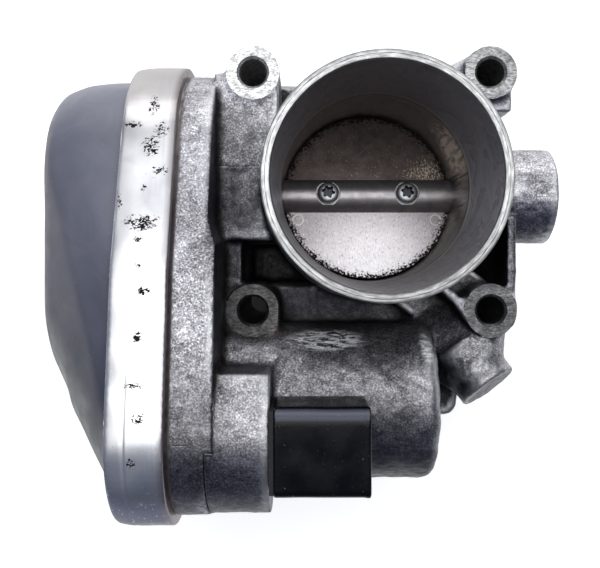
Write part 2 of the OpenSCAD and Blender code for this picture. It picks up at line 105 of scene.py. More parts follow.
# Sizes in millimetres of the details added here
BEVEL = 0.28  # the two bevels of the collar's rim
STEP_Z = 54  # the step in the air passage
ENTRY_R = 22.25  # the passage's radius above that step
RIM_MID_R = 24.6  # the middle of the rim's flat ring
RIM_GROOVE = (24.66, 24.78, 24.9)  # the tool mark in it: inner edge, bottom, outer edge
GROOVE_DEPTH = 0.1
LINE = 0.26  # the width of a parting line

# Voxel sizes in millimetres
CAST_VOXEL = 0.45
COVER_VOXEL = 0.55
BAND_VOXEL = 0.3
PLUG_VOXEL = 0.26


# ---- meshes ----

def link(name, data):
    """A new object in the scene for a mesh, a light or a camera."""
    obj = bpy.data.objects.new(name, data)
    bpy.context.scene.collection.objects.link(obj)
    return obj


def drop(obj):
    bpy.data.objects.remove(obj)


def solid(name, build):
    """A closed mesh object that build(bm) draws in millimetres."""
    bm = bmesh.new()
    build(bm)
    bmesh.ops.recalc_face_normals(bm, faces=bm.faces)
    bmesh.ops.scale(bm, vec=(MM, MM, MM), verts=bm.verts)
    mesh = bpy.data.meshes.new(name)
    bm.to_mesh(mesh)
    bm.free()
    return link(name, mesh)


def box(low, high):
    """A block between two opposite corners."""
    def build(bm):
        centre = (Vector(low) + Vector(high)) / 2
        size = Vector(high) - Vector(low)
        bmesh.ops.create_cube(bm, size=1, matrix=Matrix.Translation(centre) @ Matrix.Diagonal((*size, 1)))
    return solid("box", build)


def circle(bm, radius, height, segments):
    """A ring of vertices around Z."""
    angles = (2 * math.pi * i / segments for i in range(segments))
    return [bm.verts.new((radius * math.cos(a), radius * math.sin(a), height)) for a in angles]


def bridge(bm, low, high):
    """Faces between two rings, with triangles where one of them is a single point."""
    count = len(low)
    for i in range(count):
        j = (i + 1) % count
        corners = [low[i], low[j], high[j], high[i]]
        bm.faces.new(list(dict.fromkeys(corners)))


def lathe(profile, place=Matrix(), segments=128):
    """A closed solid turned about Z from (radius, height) points, both ends at radius 0, then placed."""
    def build(bm):
        rings = []
        for radius, height in profile:
            if radius == 0:
                rings.append([bm.verts.new((0, 0, height))] * segments)
            else:
                rings.append(circle(bm, radius, height, segments))
        for low, high in zip(rings, rings[1:]):
            bridge(bm, low, high)
        bmesh.ops.transform(bm, matrix=place, verts=bm.verts)
    return solid("lathe", build)


def turned_ring(profile, segments=256):
    """A closed ring turned about Z from the (radius, height) corners of its section."""
    def build(bm):
        rings = [circle(bm, radius, height, segments) for radius, height in profile]
        for low, high in zip(rings, rings[1:] + rings[:1]):
            bridge(bm, low, high)
    return solid("ring", build)


def extrude_x(points, x0, x1):
    """A solid between two places along X, with an outline of (Y, Z) points."""
    def build(bm):
        rings = [[bm.verts.new((x, y, z)) for y, z in points] for x in (x0, x1)]
        bm.faces.new(rings[0])
        bm.faces.new(rings[1])
        bridge(bm, *rings)
    return solid("extrusion", build)


ALONG_X = Matrix.Rotation(math.pi / 2, 4, "Y")


def rod(x0, x1, radius, y=0, z=SHAFT_Z, segments=96):
    """A round bar along X."""
    place = Matrix.Translation((0, y, z)) @ ALONG_X
    return lathe([(0, x0), (radius, x0), (radius, x1), (0, x1)], place, segments)


def post(x, y, low, high, radius, segments=96):
    """A round bar along Z."""
    profile = [(0, low), (radius, low), (radius, high), (0, high)]
    return lathe(profile, Matrix.Translation((x, y, 0)), segments)


def outline_points(inset, steps=240, gap=1.2):
    """The shared outline drawn in by inset, as (Y, Z, normal Y, normal Z), with long straights divided."""
    points = []
    for i in range(steps):
        a = 2 * math.pi * i / steps
        n = (math.cos(a), math.sin(a))
        y, z, r = max(OUTLINE, key=lambda c: c[0] * n[0] + c[1] * n[1] + c[2])
        points.append((y + (r - inset) * n[0], z + (r - inset) * n[1], *n))
    divided = []
    for p, q in zip(points, points[1:] + points[:1]):
        parts = max(1, round(math.dist(p[:2], q[:2]) / gap))
        divided += [tuple(u + (v - u) * k / parts for u, v in zip(p, q)) for k in range(parts)]
    return divided


def prism(x0, x1, inset):
    """A slice of the shared outline, drawn in by inset."""
    return extrude_x([(y, z) for y, z, *_ in outline_points(inset)], x0, x1)


def welded(node, name):
    """A copy of a CAD node as one closed mesh."""
    bm = bmesh.new()
    bm.from_mesh(frame["nodes"][node].data)
    bmesh.ops.remove_doubles(bm, verts=bm.verts, dist=1e-6)
    mesh = bpy.data.meshes.new(name)
    bm.to_mesh(mesh)
    bm.free()
    return link(name, mesh)


def settle(obj):
    """Applies the object's modifiers."""
    seen = obj.evaluated_get(bpy.context.evaluated_depsgraph_get())
    mesh = bpy.data.meshes.new_from_object(seen)
    obj.modifiers.clear()
    obj.data = mesh


def combine(obj, tool, operation, keep_tool=False):
    """Changes obj by a boolean with the tool, which is then dropped."""
    mod = obj.modifiers.new("combine", "BOOLEAN")
    mod.solver = "MANIFOLD"
    mod.operation = operation
    mod.object = tool
    settle(obj)
    if not keep_tool:
        drop(tool)
    return obj


def remesh(obj, voxel):
    """Rebuilds the mesh from voxels of that size in millimetres."""
    mod = obj.modifiers.new("remesh", "REMESH")
    mod.mode = "VOXEL"
    mod.voxel_size = voxel * MM
    settle(obj)


def coordinates(mesh):
    co = np.empty(len(mesh.vertices) * 3)
    mesh.vertices.foreach_get("co", co)
    return co.reshape(-1, 3)


def normals(mesh):
    n = np.empty(len(mesh.vertices) * 3)
    mesh.vertex_normals.foreach_get("vector", n)
    return n.reshape(-1, 3)


def set_coordinates(mesh, co):
    mesh.vertices.foreach_set("co", co.astype(np.float32).ravel())
    mesh.update()


def wear(obj, rounds, hollow, crest, hold=None, fair=0):
    """Rounds a dense mesh. Each round moves a vertex towards its neighbours: by hollow where that fills a
    corner, and by crest where it wears an edge. hold(co) gives a share, 0 where nothing may move. The fair
    rounds come first, and only take out the voxels' steps: each moves in and then out again."""
    mesh = obj.data
    count = len(mesh.vertices)
    edges = np.empty(len(mesh.edges) * 2, int)
    mesh.edges.foreach_get("vertices", edges)
    a, b = edges[::2], edges[1::2]
    degree = np.bincount(a, minlength=count) + np.bincount(b, minlength=count)
    co = coordinates(mesh)
    free = np.ones(count) if hold is None else hold(co / MM)

    def pull():
        return np.stack([(np.bincount(a, co[b, k], count) + np.bincount(b, co[a, k], count)) / degree
                         for k in range(3)], axis=1) - co

    for share in (0.5, -0.52) * fair:
        co = co + pull() * (share * free)[:, None]
    for step in range(rounds):
        if step % 4 == 0:
            set_coordinates(mesh, co)
            n = normals(mesh)
        move = pull()
        share = np.where((move * n).sum(axis=1) > 0, hollow, crest) * free
        co = co + move * share[:, None]
    set_coordinates(mesh, co)


def ripple(co, size, seed, waves=24):
    """A smooth unevenness of about plus or minus 1 at points in millimetres, with bumps of that size."""
    random = np.random.default_rng(seed)
    direction = random.normal(size=(waves, 3))
    direction /= np.linalg.norm(direction, axis=1)[:, None]
    pace = 2 * math.pi / size * random.uniform(0.6, 1.6, waves)
    phase = random.uniform(0, 2 * math.pi, waves)
    return np.sin(co @ (direction * pace[:, None]).T + phase).sum(axis=1) / math.sqrt(waves)


def swell(obj, size, height, seed, hold=None):
    """Moves the surface in and out by the ripple, for a cast or moulded unevenness."""
    mesh = obj.data
    co = coordinates(mesh)
    out = ripple(co / MM, size, seed) * height * MM
    if hold is not None:
        out *= hold(co / MM)
    set_coordinates(mesh, co + normals(mesh) * out[:, None])


def note_hollows(obj, rounds=60):
    """Stores on each vertex how far a heavy smoothing would lift it, in millimetres: above 0 in a hollow,
    where the casting shows soiling and painted shade, and below 0 on a crest, where the skin wears bright."""
    mesh = obj.data
    start = coordinates(mesh)
    n = normals(mesh)
    trial = mesh.copy()
    probe = link("probe", trial)
    wear(probe, rounds, 0.6, 0.6)
    lift = ((coordinates(trial) - start) * n).sum(axis=1) / MM
    drop(probe)
    bpy.data.meshes.remove(trial)
    attribute = mesh.attributes.new("hollow", "FLOAT", "POINT")
    attribute.data.foreach_set("value", lift.astype(np.float32))


def shade(obj, angle):
    """Smooth shading that breaks at edges sharper than that angle in degrees."""
    obj.data.shade_smooth()
    obj.data.set_sharp_from_angle(angle=math.radians(angle))


def finish_piece(obj, name, body, slot, materials, *nodes):
    """Names a piece, gives it its materials and body, and lets it stand for those CAD nodes."""
    obj.name = obj.data.name = name
    # Clearing the slots resets the faces' material numbers, so they are put back
    index = np.empty(len(obj.data.polygons), int)
    obj.data.polygons.foreach_get("material_index", index)
    obj.data.materials.clear()
    for material in materials:
        obj.data.materials.append(material)
    obj.data.polygons.foreach_set("material_index", index if len(materials) > 1 else index * 0)
    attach(obj, body)
    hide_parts(*nodes)
    return obj


# ---- materials ----

# The direction of the light: the sides turned from it get painted shade
LIGHT_DIRECTION = Vector((0.25, 0.55, 0.8)).normalized()


class Shader:
    """A material's node tree, with short calls for the nodes used here. Lengths are in millimetres."""

    def __init__(self, name, **settings):
        self.material = bpy.data.materials.new(name)
        self.material.use_nodes = True
        self.tree = self.material.node_tree
        self.surface = self.tree.nodes["Principled BSDF"]
        for key, value in settings.items():
            self.set(key.replace("_", " "), value)
        coords = self.tree.nodes.new("ShaderNodeTexCoord")
        self.place = self.add("VectorMath", {0: coords.outputs["Object"], 1: (1 / MM,) * 3},
                              operation="MULTIPLY").outputs[0]

    def add(self, kind, inputs, **settings):
        node = self.tree.nodes.new("ShaderNode" + kind)
        for key, value in settings.items():
            setattr(node, key, value)
        for key, value in inputs.items():
            if isinstance(value, bpy.types.NodeSocket):
                self.tree.links.new(value, node.inputs[key])
            else:
                node.inputs[key].default_value = value
        return node

    def set(self, key, value):
        if isinstance(value, bpy.types.NodeSocket):
            self.tree.links.new(value, self.surface.inputs[key])
        else:
            self.surface.inputs[key].default_value = (*value, 1) if isinstance(value, tuple) else value

    def noise(self, size, detail=3.0, rough=0.55, stretch=(1, 1, 1), twist=0.0):
        place = self.add("VectorMath", {0: self.place, 1: tuple(1 / (size * s) for s in stretch)},
                         operation="MULTIPLY").outputs[0]
        return self.add("TexNoise", {"Vector": place, "Scale": 1.0, "Detail": detail,
                                     "Roughness": rough, "Distortion": twist}).outputs["Fac"]

    def steps(self, value, *stops):
        """A colour or grey that changes with value: (place, colour) pairs."""
        node = self.add("ValToRGB", {"Fac": value})
        band = node.color_ramp
        while len(band.elements) < len(stops):
            band.elements.new(0.5)
        for element, (place, colour) in zip(band.elements, stops):
            element.position = place
            element.color = (*colour, 1) if isinstance(colour, tuple) else (colour, colour, colour, 1)
        return node.outputs["Color"]

    def mix(self, share, first, second, blend="MIX"):
        node = self.add("Mix", {}, data_type="RGBA", blend_type=blend)
        for socket, value in ((node.inputs[0], share), (node.inputs[6], first), (node.inputs[7], second)):
            if isinstance(value, bpy.types.NodeSocket):
                self.tree.links.new(value, socket)
            elif isinstance(value, tuple):
                socket.default_value = (*value, 1)
            else:
                socket.default_value = value
        return node.outputs[2]

    def times(self, first, second):
        return self.mix(1.0, first, second, "MULTIPLY")

    def math(self, operation, first, second=0.0, clamp=False):
        return self.add("Math", {0: first, 1: second}, operation=operation, use_clamp=clamp).outputs[0]

    def axis(self, name):
        return self.add("SeparateXYZ", {0: self.place}).outputs[name]

    def from_axis(self):
        """The distance from the air bore's axis."""
        flat = self.add("VectorMath", {0: self.place, 1: (1, 1, 0)}, operation="MULTIPLY").outputs[0]
        return self.add("VectorMath", {0: flat}, operation="LENGTH").outputs["Value"]

    def hollow(self):
        """The lift that note_hollows stored, moved to 0.5 for a flat place; 1 mm of lift adds 0.5."""
        stored = self.add("Attribute", {}, attribute_name="hollow").outputs["Fac"]
        return self.math("ADD", self.math("MULTIPLY", stored, 0.5), 0.5)

    def facing(self, direction):
        """How far the surface faces a direction: 1 fully, 0 across it."""
        normal = self.add("TexCoord", {}).outputs["Normal"]
        return self.add("VectorMath", {0: normal, 1: direction}, operation="DOT_PRODUCT").outputs["Value"]

    def painted_light_by_facing(self, *stops):
        """A tone that changes with how far the surface faces the light, for painted shade and painted
        light by facing.
        """
        return self.steps(self.facing(LIGHT_DIRECTION), *stops)

    def near(self, point, reach):
        """1 at a point and 0 at that reach, given for each axis, in millimetres."""
        offset = self.add("VectorMath", {0: self.place, 1: point}, operation="SUBTRACT").outputs[0]
        scaled = self.add("VectorMath", {0: offset, 1: reach}, operation="DIVIDE").outputs[0]
        far = self.add("VectorMath", {0: scaled}, operation="LENGTH").outputs["Value"]
        return self.math("SUBTRACT", 1.0, far, clamp=True)

    def bump(self, *layers):
        """Each layer is (height value, depth in millimetres, strength)."""
        normal = None
        for value, depth, strength in layers:
            inputs = {"Height": value, "Distance": depth * MM, "Strength": strength}
            if normal is not None:
                inputs["Normal"] = normal
            normal = self.add("Bump", inputs).outputs["Normal"]
        self.set("Normal", normal)


# Where oil, soiling and painted shade darken the casting, the shade in pockets, valleys and on the sides
# turned from the light: a point, the reach along each axis, and how dark it gets
SHADE_AND_GRIME = (((-41, -54, 72), (12, 20, 14), 0.55), ((-33, 13, 47), (9, 10, 7), 0.5),
         ((-32, -3, 47), (9, 13, 8), 0.9), ((-36.5, -8, 58), (3, 34, 15), 0.8),
         ((-5, -55, 55), (30, 15, 16), 0.65), ((-5, -70, 45), (40, 19, 30), 0.93),
         ((-33, -16, 45), (4, 11, 14), 0.85), ((-12, -28, 38), (22, 8, 18), 0.75),
         ((33, -14, 43), (5, 16, 16), 0.6), ((-30, -35, 44), (9, 10, 9), 0.8),
         ((-31, -43, 46), (8, 5, 12), 0.6), ((29, -45, 37), (14, 13, 18), 0.55),
         ((35, -50, 36), (6, 7, 14), 0.2), ((-30, -68, 58), (12, 12, 18), 0.3))


def casting_skin(s, grain, height):
    """Shot cast metal in darker and paler patches, with painted shade on level faces low in the pockets
    and painted light on level faces of the stub.
    """
    patch = s.noise(15, 5, 0.6, twist=0.8)
    skin = s.steps(grain, (0.36, (0.1, 0.098, 0.104)), (0.52, (0.265, 0.26, 0.275)),
                   (0.6, (0.42, 0.413, 0.436)), (0.69, (0.7, 0.69, 0.72)))
    pale = s.steps(grain, (0.36, (0.25, 0.246, 0.259)), (0.52, (0.44, 0.433, 0.457)),
                   (0.59, (0.6, 0.59, 0.62)), (0.68, (0.82, 0.81, 0.85)))
    tone = s.mix(s.steps(patch, (0.42, 0.0), (0.62, 1.0)), skin, pale)
    mottle = s.noise(2.4, 4, 0.7, twist=0.5)
    tone = s.times(tone, s.steps(mottle, (0.36, 0.5), (0.5, 0.9), (0.62, 1.0)))
    # Painted shade on level faces low in the pockets, and painted light, 1.5 times paler, on level faces
    # of the stub beyond X 37 mm
    painted_light_on_level_faces = s.steps(height, (0.34, 0.12), (0.46, 0.25), (0.54, 0.6), (0.575, 1.0))
    stub = s.steps(s.math("DIVIDE", s.axis("X"), 50.0), (0.7, 0.0), (0.74, 1.0))
    painted_light_on_level_faces = s.mix(stub, painted_light_on_level_faces, (1.5, 1.5, 1.5))
    level = s.steps(s.facing((0, 0, 1)), (0.2, 0.0), (0.6, 1.0))
    return s.mix(level, tone, s.times(tone, painted_light_on_level_faces))


def side_shade_share(s, height):
    """Painted shade: how much of its colour each side keeps as it turns from the light,
    evenly grey low down and around the collar.
    """
    side_shade = s.painted_light_by_facing((0.0, (0.07, 0.075, 0.11)), (0.4, (0.25, 0.26, 0.34)),
                          (0.65, (0.66, 0.67, 0.75)), (0.8, 1.0))
    off_axis = s.math("DIVIDE", s.from_axis(), 30.0)
    handled = s.math("MAXIMUM", s.steps(height, (0.36, 1.0), (0.5, 0.0)),
                     s.steps(off_axis, (0.86, 1.0), (0.9, 0.0)))
    return s.mix(handled, side_shade, (0.62, 0.62, 0.64))


def shade_and_grime_share(s):
    """How far oil, soiling and painted shade darken each place, from the list of darkened spots."""
    shade_and_grime = 0.0
    for place, reach, share in SHADE_AND_GRIME:
        spot = s.math("MULTIPLY", s.steps(s.near(place, reach), (0.0, 0.0), (0.55, 1.0)), share)
        shade_and_grime = s.math("MAXIMUM", shade_and_grime, spot)
    return shade_and_grime


def cup_scratches(s):
    """Pale scratches along the top of the motor cup and at its end."""
    scratch = s.noise(0.9, 4, 0.7, stretch=(4, 1, 1), twist=0.8)
    scratch = s.steps(scratch, (0.46, 0.0), (0.53, 1.0))
    top = s.steps(s.near((-11, -36, 49), (12, 3.3, 9)), (0.1, 0.0), (0.45, 1.0))
    end = s.steps(s.near((12.5, -38, 50), (2.2, 5, 9)), (0.1, 0.0), (0.5, 1.0))
    return s.math("MAXIMUM", s.math("MULTIPLY", top, scratch), s.math("MULTIPLY", end, scratch))


def cast_metal():
    """Die-cast aluminium, darkened above and around the motor cup by soot and by painted shade, with
    painted shade in pockets, hollows and on the sides turned from the light, and painted light along the
    flange.
    """
    s = Shader("cast_aluminium")
    grain = s.noise(0.42, 3, 0.6)
    coarse = s.noise(1.5, 3, 0.6)
    height = s.math("DIVIDE", s.axis("Z"), 80.0)
    # The sides turned from the light get painted shade
    tone = s.times(casting_skin(s, grain, height), side_shade_share(s, height))
    # A painted pool of light along the flange's top and right face, 1.4 times paler
    paler_with_painted_light = s.steps(s.near((-40, -5, 68), (6, 50, 20)), (0.0, 0.0), (0.4, 1.0))
    tone = s.mix(paler_with_painted_light, tone, s.times(tone, (1.4, 1.4, 1.42)))
    # Painted shade, with oil and soiling, at the listed spots
    shade_and_grime = shade_and_grime_share(s)
    blotches = s.steps(s.noise(3.5, 4, 0.65, twist=0.6), (0.35, 0.75), (0.6, 1.0))
    tone = s.mix(s.math("MULTIPLY", shade_and_grime, blotches), tone, (0.018, 0.018, 0.024))
    # Brown soiling and painted shade in the groove beside the band
    crimp = s.steps(s.math("DIVIDE", s.axis("X"), -60.0), (0.745, 0.0), (0.75, 0.8))
    tone = s.mix(crimp, tone, (0.3, 0.26, 0.25))
    # Crests are worn bright, except at the spots darkened by oil, soiling and painted shade
    uneven = s.math("ADD", s.hollow(), s.math("MULTIPLY", s.math("SUBTRACT", coarse, 0.5), 0.2))
    clear_of_shade_and_grime = s.math("SUBTRACT", 0.5, shade_and_grime, clamp=True)
    worn = s.math("MULTIPLY", s.steps(uneven, (0.34, 1.0), (0.45, 0.0)), clear_of_shade_and_grime)
    base = s.mix(worn, tone, (0.62, 0.62, 0.64))
    rust = s.math("ADD", s.near((-22.5, -33, 46), (4, 6, 6)), s.math("MULTIPLY", coarse, 0.4))
    base = s.mix(s.steps(rust, (0.5, 0.0), (0.8, 0.5)), base, (0.12, 0.06, 0.035))
    # Hollows are darkened, partly by soiling and partly by painted shade, but hardly at all on top of the
    # motor cup
    cup_top = s.steps(s.near((-8, -37.5, 50), (26, 7, 12)), (0.0, 1.0), (0.4, 0.1))
    hollow_shade_and_dirt = s.math("MULTIPLY", s.steps(uneven, (0.58, 0.0), (0.85, 1.0)), cup_top)
    shade_and_dirt_colour = s.steps(s.noise(4, 4, 0.65), (0.3, (0.012, 0.01, 0.01)), (0.7, (0.05, 0.043, 0.04)))
    base = s.mix(hollow_shade_and_dirt, base, shade_and_dirt_colour)
    scratched = cup_scratches(s)
    s.set("Base Color", s.mix(scratched, base, (0.9, 0.9, 0.92)))
    s.set("Metallic", s.steps(scratched, (0.0, 0.85), (1.0, 0.1)))
    s.set("Roughness", s.mix(hollow_shade_and_dirt, s.steps(coarse, (0.3, 0.34), (0.7, 0.5)), (0.7, 0.7, 0.7)))
    s.bump((coarse, 0.1, 0.45), (grain, 0.07, 0.7))
    return s.material


# How bright each boss face is: its centre (X, Y) and the share of its brightness that it keeps
BOSS_FACES = ((-29, 29, 0.95), (29, 29, 0.5), (29, -29, 0.22), (-29, -29, 0.1))


def milled_metal():
    """The faces that were cut flat, each boss face as bright as BOSS_FACES says."""
    s = Shader("milled_aluminium", Metallic=0.85)
    grain = s.noise(0.3, 3, 0.65, stretch=(3, 1, 1))
    wear_marks = s.noise(2.6, 4, 0.65, twist=0.8)
    tone = s.steps(grain, (0.36, 0.26), (0.5, 0.62), (0.58, 0.92), (0.66, 1.0))
    tone = s.mix(s.steps(wear_marks, (0.44, 0.0), (0.64, 0.55)), tone, (0.2, 0.195, 0.205))
    for x, y, share in BOSS_FACES:
        here = s.steps(s.near((x, y, BOSS_TOP), (13, 13, 60)), (0.0, 0.0), (0.2, 1.0))
        tone = s.mix(here, tone, s.times(tone, (share, share, share)))
    s.set("Base Color", tone)
    s.set("Roughness", s.steps(wear_marks, (0.35, 0.3), (0.65, 0.44)))
    s.bump((grain, 0.06, 0.7))
    return s.material


def rim_metal():
    """The bright turned rim, with fine circular tool marks."""
    s = Shader("turned_rim", Metallic=0.9)
    turn = s.math("SINE", s.math("MULTIPLY", s.from_axis(), 30.0))
    # Noise drawn out along the ring, into streaks about 3 mm long
    flat = s.add("VectorMath", {0: s.place, 1: (1, 1, 0)}, operation="MULTIPLY").outputs[0]
    around = s.add("VectorMath", {0: flat}, operation="NORMALIZE").outputs[0]
    around = s.add("VectorMath", {0: around, 1: (9, 9, 9)}, operation="MULTIPLY").outputs[0]
    level = s.add("CombineXYZ", {"Z": s.math("MULTIPLY", s.from_axis(), 2.2)}).outputs[0]
    place = s.add("VectorMath", {0: around, 1: level}, operation="ADD").outputs[0]
    spots = s.add("TexNoise", {"Vector": place, "Scale": 1.0, "Detail": 4.0,
                               "Roughness": 0.65}).outputs["Fac"]
    tone = s.steps(spots, (0.32, 0.3), (0.5, 0.5), (0.66, 0.74))
    # Painted shade towards both edges of the flat ring, as on a rounded lip
    out = s.math("ABSOLUTE", s.math("SUBTRACT", s.from_axis(), RIM_MID_R))
    tone = s.times(tone, s.steps(out, (0.4, 1.0), (0.85, 0.55)))
    # Painted shade: dimmer on the -Y side, turned from the light, and a little on the +Y side, which faces
    # the light
    along_y = s.math("ADD", s.math("DIVIDE", s.axis("Y"), 60.0), 0.5)
    s.set("Base Color", s.times(tone, s.steps(along_y, (0.1, 0.6), (0.5, 0.95), (0.9, 0.78))))
    s.set("Roughness", s.steps(spots, (0.3, 0.42), (0.7, 0.3)))
    s.bump((turn, 0.004, 0.3), (spots, 0.03, 0.3))
    return s.material


def bore_metal():
    """The bored air passage: a thin coat of oil, brown below the step, with soft stains, a painted shadow
    and glint at the step, painted shade by the wall's facing, and a tan tarnish with painted reflections.
    """
    s = Shader("bore_oil_and_painted_shade", Metallic=0.12)
    height = s.axis("Z")
    low = s.steps(s.math("DIVIDE", height, COLLAR_TOP), (0.695, 1.0), (0.705, 0.0))
    stain = s.noise(9, 4, 0.55, twist=1.4)
    fine = s.noise(0.8, 3, 0.6, stretch=(1, 1, 3))
    grey = s.steps(stain, (0.3, (0.52, 0.5, 0.53)), (0.555, (0.72, 0.69, 0.73)),
                   (0.565, (0.45, 0.43, 0.46)), (0.64, (0.6, 0.575, 0.61)))
    brown = s.steps(stain, (0.35, (0.3, 0.26, 0.24)), (0.6, (0.5, 0.44, 0.4)), (0.72, (0.8, 0.7, 0.6)))
    tone = s.mix(low, grey, brown)
    glow = s.steps(s.near((20, 10, 47), (8, 12, 11)), (0.0, 0.0), (0.5, 1.0))
    streaks = s.steps(s.noise(1.6, 4, 0.7, stretch=(1, 1, 4), twist=0.6), (0.42, 0.15), (0.56, 1.0))
    above = s.math("SUBTRACT", height, STEP_Z)
    shadow = s.steps(s.math("MULTIPLY", s.math("ADD", above, 2.0), 0.2), (0.2, 1.0), (0.36, 0.12),
                     (0.42, 0.12), (0.44, 1.0))
    tone = s.times(tone, shadow)
    glint = s.steps(s.math("ABSOLUTE", s.math("SUBTRACT", above, 0.5)), (0.3, 0.75), (0.5, 0.0))
    tone = s.mix(glint, tone, (0.95, 0.92, 0.9))
    # Painted shade by facing: the side under the light is painted darker, as the light makes it bright,
    # and the far side, turned from the light, darker still
    turned = s.math("ADD", s.math("MULTIPLY", s.facing((0, 1, 0)), 0.5), 0.5)
    darkening = s.steps(turned, (0.03, 0.11), (0.35, 0.42), (0.55, 0.6), (0.8, 0.36), (1.0, 0.2))
    tone = s.times(tone, darkening)
    # Tan tarnish with painted reflections in upright streaks on the wall above the shaft's right end
    patina_and_painted_reflection = s.math("MULTIPLY", s.math("MULTIPLY", glow, streaks), low)
    s.set("Base Color", s.mix(patina_and_painted_reflection, tone, (0.72, 0.6, 0.5)))
    s.set("Roughness", s.steps(fine, (0.3, 0.3), (0.7, 0.42)))
    s.bump((fine, 0.02, 0.3))
    return s.material


# Where the band is chipped: the place (X, Y), and the reach along X and along Y
CHIPS = ((-50.9, 19.0, 1.2, 2.6), (-55.0, 13.9, 2.2, 0.7), (-48.8, 12.6, 1.5, 1.7), (-50.9, 8.6, 2.0, 2.2),
         (-48.4, 3.2, 1.6, 1.2), (-51.8, -0.9, 0.8, 0.8), (-56.9, -4.2, 0.6, 1.6), (-51.8, -8.7, 3.6, 1.7),
         (-52.2, -12.4, 0.9, 0.7), (-51.9, -18.0, 0.9, 0.6), (-50.2, -23.2, 1.5, 1.0),
         (-51.6, -33.0, 0.9, 1.6), (-52.0, -42.8, 2.2, 0.7), (-50.4, -49.6, 1.4, 1.2),
         (-52.4, -58.6, 1.2, 1.0))


def band_metal():
    """Satin rolled aluminium, chipped in clusters, with brown soiling and painted shade in the crimp along
    its right edge, painted shade on the sides turned from the light, and painted glints on those sides.
    """
    s = Shader("band_aluminium", Metallic=0.9)
    cloud = s.noise(10, 4, 0.6, twist=0.8)
    rolled = s.noise(0.9, 3, 0.6, stretch=(1, 16, 16))
    paler_with_painted_light = s.steps(cloud, (0.35, (0.9, 0.905, 0.93)), (0.65, (1.0, 1.0, 1.0)))
    bluish = s.math("MULTIPLY", s.steps(rolled, (0.5, 0.0), (0.62, 1.0)),
                    s.steps(s.math("DIVIDE", s.axis("X"), -60.0), (0.76, 0.5), (0.88, 0.0)))
    paler_with_painted_light = s.mix(bluish, paler_with_painted_light, (0.7, 0.74, 0.86))
    # Painted shade on the sides turned from the light, where painted glints are added next
    sides = s.painted_light_by_facing((0.0, (0.04, 0.047, 0.085)), (0.3, (0.15, 0.165, 0.24)),
                        (0.62, (0.66, 0.68, 0.76)), (0.78, 1.0))
    paler_with_painted_light = s.times(paler_with_painted_light, sides)
    specks = s.noise(0.7, 3, 0.65)
    glints = s.math("MULTIPLY", s.steps(specks, (0.64, 0.0), (0.68, 1.0)),
                    s.painted_light_by_facing((0.3, 1.0), (0.7, 0.0)))
    paler_with_painted_light = s.mix(glints, paler_with_painted_light, (0.8, 0.82, 0.88))
    # Brown soiling and painted shade in the crimp along the right edge
    crimp = s.steps(s.math("DIVIDE", s.axis("X"), -60.0), (0.765, 1.0), (0.79, 0.0))
    paler_with_painted_light = s.mix(s.math("MULTIPLY", crimp, 0.7), paler_with_painted_light, (0.2, 0.165, 0.16))
    stale = s.steps(s.math("DIVIDE", s.axis("Y"), 40.0), (0.1, 1.0), (0.35, (0.68, 0.67, 0.67)),
                    (0.55, (0.5, 0.48, 0.47)), (0.8, (0.34, 0.315, 0.3)))
    paler_with_painted_light = s.times(paler_with_painted_light, stale)
    where = 0.0
    for x, y, reach_x, reach_y in CHIPS:
        where = s.math("MAXIMUM", where, s.near((x, y, 70), (reach_x * 1.3, reach_y * 1.3, 40)))
    ragged = s.noise(0.75, 3, 0.5, stretch=(1.3, 1, 1), twist=1.6)
    clusters = s.steps(s.math("ADD", s.math("MULTIPLY", where, 0.26), ragged), (0.645, 0.0), (0.66, 1.0))
    clusters = s.math("MULTIPLY", clusters, s.steps(where, (0.02, 0.0), (0.06, 1.0)))
    nicks = s.steps(s.noise(0.55, 4, 0.6, stretch=(1.6, 1, 1), twist=0.9), (0.715, 0.0), (0.73, 1.0))
    hit = s.math("MAXIMUM", clusters, nicks)
    s.set("Base Color", s.mix(hit, paler_with_painted_light, (0.035, 0.026, 0.03)))
    s.set("Roughness", s.mix(hit, s.steps(cloud, (0.3, 0.3), (0.7, 0.4)), (0.8, 0.8, 0.8)))
    s.bump((rolled, 0.02, 0.2), (specks, 0.03, 0.3), (s.math("SUBTRACT", 1.0, hit), 0.12, 0.7))
    return s.material


def moulded(name, colour, bright, rough, dusty, specular, edge):
    """Satin moulded plastic with a fine texture, flow clouds and dust specks, painted shade on the sides
    turned from the light and towards -Y, and a painted highlight on the +Y +Z edge, as strong as edge
    says.
    """
    s = Shader(name, Metallic=0.0, Specular_IOR_Level=specular)
    cloud = s.noise(13, 4, 0.6, twist=1.0)
    specks = s.steps(s.noise(0.55, 2, 0.5), (0.72, 0.0), (0.76, dusty))
    body = s.steps(cloud, (0.34, colour), (0.68, bright))
    # Painted shade on the sides turned from the light, and more towards -Y, away from it
    body = s.times(body, s.painted_light_by_facing((0.0, 0.25), (0.8, 1.0)))
    lower = s.steps(s.math("DIVIDE", s.axis("Y"), -80.0), (0.1, 1.0), (0.6, (0.36, 0.38, 0.46)))
    body = s.times(body, lower)
    # Painted highlight: the edge between the +Y and +Z sides, which catches the light, is painted paler
    painted_edge_highlight = s.steps(s.facing(Vector((0, 0.62, 0.78)).normalized()), (0.86, 0.0), (0.99, edge))
    body = s.mix(painted_edge_highlight, body, (0.1, 0.108, 0.14))
    s.set("Base Color", s.mix(specks, body, (0.34, 0.35, 0.37)))
    s.set("Roughness", s.steps(s.noise(5, 4, 0.6), (0.3, rough - 0.06), (0.7, rough + 0.08)))
    s.bump((s.noise(0.32, 3, 0.6), 0.02, 0.35), (s.noise(2.2, 3, 0.6), 0.05, 0.2))
    return s.material


